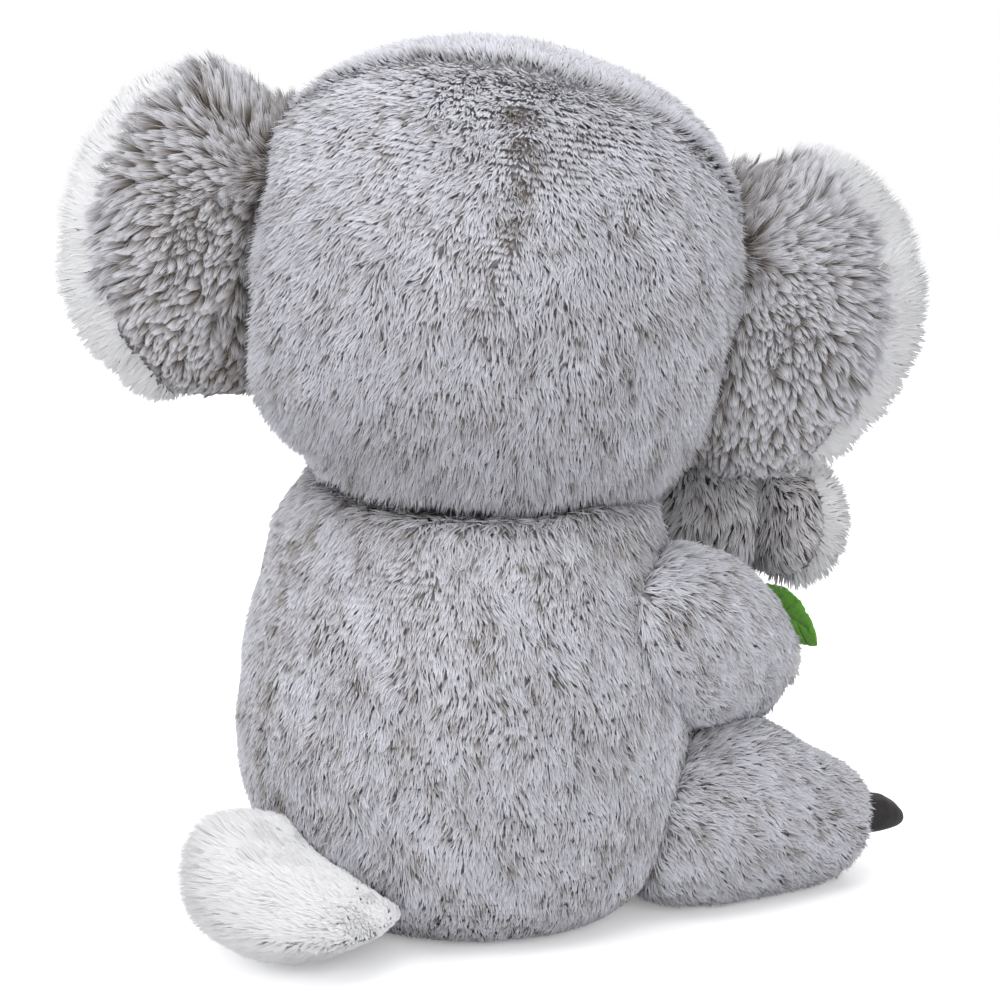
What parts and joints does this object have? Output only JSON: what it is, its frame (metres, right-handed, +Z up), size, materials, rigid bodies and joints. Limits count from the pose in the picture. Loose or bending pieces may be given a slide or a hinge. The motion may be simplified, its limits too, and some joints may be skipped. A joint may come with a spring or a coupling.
{
  "type": "plush koala",
  "caption": "Seated plush koala with large ears, a fluffy white tail and dark claws, holding a baby koala with a leaf in its lap.",
  "frame": {"origin": "centre of the flat seat base, on the floor", "axes": "+Z up, -Y the way the chest faces, +X the koala's own left side"},
  "size_m": [0.2068, 0.2581, 0.2776],
  "materials": {
    "grey_fur": "long soft pile, silver tips over dark roots",
    "ear_fur": "long soft pile, dark with silver tips",
    "baby_fur": "soft pile, dark grey",
    "white_fur": "long fluffy pile",
    "dark_suede": "short nap, matte",
    "eye_plastic": "polished",
    "washer_plastic": "moulded",
    "polyester_filling": "loose fibre",
    "bag_cloth": "plain weave",
    "leaf_velboa": "short nap"
  },
  "bodies": {
    "body": {"body_back_left": "grey_fur", "body_back_right": "grey_fur", "belly_panel": "white_fur", "seat_panel": "grey_fur", "body_stuffing": "polyester_filling", "pellet_bag": "bag_cloth", "baby_body_cover": "baby_fur", "baby_body_stuffing": "polyester_filling", "baby_arm_left": "baby_fur", "baby_arm_right": "baby_fur", "baby_leg_left": "baby_fur", "baby_leg_right": "baby_fur", "leaf_stem": "leaf_velboa"},
    "head": {"face_panel": "grey_fur", "head_back_left": "grey_fur", "head_back_right": "grey_fur", "head_stuffing": "polyester_filling", "muzzle_panel": "white_fur", "nose": "dark_suede", "eye_left": "eye_plastic", "eye_right": "eye_plastic", "eye_washer_left": "washer_plastic", "eye_washer_right": "washer_plastic"},
    "tail": {"tail_cover": "white_fur", "tail_stuffing": "polyester_filling"},
    "baby_head": {"baby_head_cover": "baby_fur", "baby_head_stuffing": "polyester_filling", "baby_nose": "dark_suede", "baby_eye_left": "eye_plastic", "baby_eye_right": "eye_plastic"},
    "leaf": {"leaf": "leaf_velboa"},
    "ear_left": {"ear_back_left": "ear_fur", "ear_front_left": "white_fur"},
    "arm_left": {"arm_cover_left": "grey_fur", "arm_stuffing_left": "polyester_filling", "hand_claw_left_1": "dark_suede", "hand_claw_left_2": "dark_suede", "hand_claw_left_3": "dark_suede"},
    "leg_left": {"leg_cover_left": "grey_fur", "leg_stuffing_left": "polyester_filling", "foot_claw_left_1": "dark_suede", "foot_claw_left_2": "dark_suede", "foot_claw_left_3": "dark_suede"},
    "baby_ear_left": {"baby_ear_back_left": "baby_fur", "baby_ear_front_left": "white_fur"},
    "ear_right": {"ear_back_right": "ear_fur", "ear_front_right": "white_fur"},
    "arm_right": {"arm_cover_right": "grey_fur", "arm_stuffing_right": "polyester_filling", "hand_claw_right_1": "dark_suede", "hand_claw_right_2": "dark_suede", "hand_claw_right_3": "dark_suede"},
    "leg_right": {"leg_cover_right": "grey_fur", "leg_stuffing_right": "polyester_filling", "foot_claw_right_1": "dark_suede", "foot_claw_right_2": "dark_suede", "foot_claw_right_3": "dark_suede"},
    "baby_ear_right": {"baby_ear_back_right": "baby_fur", "baby_ear_front_right": "white_fur"}
  },
  "joints": [
    {"name": "head_turn", "type": "hinge", "parent": "body", "child": "head", "pos_m": [-0.0078, -0.0034, 0.2005], "axis": [0, 0, 1], "range_deg": [-12, 12], "stiffness_Nm_per_rad": 0.6},
    {"name": "ear_left_fold", "type": "hinge", "parent": "head", "child": "ear_left", "pos_m": [0.05802, 0.03219, 0.21427], "axis": [-0.1246, -0.1083, 0.9863], "range_deg": [-20, 0], "stiffness_Nm_per_rad": 0.06},
    {"name": "ear_right_fold", "type": "hinge", "parent": "head", "child": "ear_right", "pos_m": [-0.05259, -0.06396, 0.18975], "axis": [-0.1246, -0.1083, 0.9863], "range_deg": [0, 20], "stiffness_Nm_per_rad": 0.06},
    {"name": "arm_left_swing", "type": "hinge", "parent": "body", "child": "arm_left", "pos_m": [0.06921, 0.01874, 0.0992], "axis": [0, 0, 1], "range_deg": [0, 18], "stiffness_Nm_per_rad": 0.25},
    {"name": "arm_right_swing", "type": "hinge", "parent": "body", "child": "arm_right", "pos_m": [-0.06921, 0.01874, 0.0992], "axis": [0, 0, 1], "range_deg": [-18, 0], "stiffness_Nm_per_rad": 0.25},
    {"name": "leg_left_swing", "type": "hinge", "parent": "body", "child": "leg_left", "pos_m": [0.0713, 0.00946, 0.02809], "axis": [0, 0, 1], "range_deg": [0, 18], "stiffness_Nm_per_rad": 0.3},
    {"name": "leg_right_swing", "type": "hinge", "parent": "body", "child": "leg_right", "pos_m": [-0.0713, 0.00946, 0.02809], "axis": [0, 0, 1], "range_deg": [-18, 0], "stiffness_Nm_per_rad": 0.3},
    {"name": "tail_lift", "type": "hinge", "parent": "body", "child": "tail", "pos_m": [0, 0.068, 0.0455], "axis": [1, 0, 0], "range_deg": [0, 15], "stiffness_Nm_per_rad": 0.12},
    {"name": "baby_head_turn", "type": "hinge", "parent": "body", "child": "baby_head", "pos_m": [-0.019, -0.105, 0.1165], "axis": [0, 0, 1], "range_deg": [-12, 12], "stiffness_Nm_per_rad": 0.06},
    {"name": "baby_ear_left_fold", "type": "hinge", "parent": "baby_head", "child": "baby_ear_left", "pos_m": [0.00994, -0.11212, 0.11704], "axis": [0, 0, 1], "range_deg": [-20, 0], "stiffness_Nm_per_rad": 0.01},
    {"name": "baby_ear_right_fold", "type": "hinge", "parent": "baby_head", "child": "baby_ear_right", "pos_m": [-0.04794, -0.11212, 0.11704], "axis": [0, 0, 1], "range_deg": [0, 20], "stiffness_Nm_per_rad": 0.01},
    {"name": "leaf_swing", "type": "hinge", "parent": "body", "child": "leaf", "pos_m": [-0.019, -0.13769, 0.07425], "axis": [0, 0, 1], "range_deg": [0, 10], "stiffness_Nm_per_rad": 0.008}
  ]
}
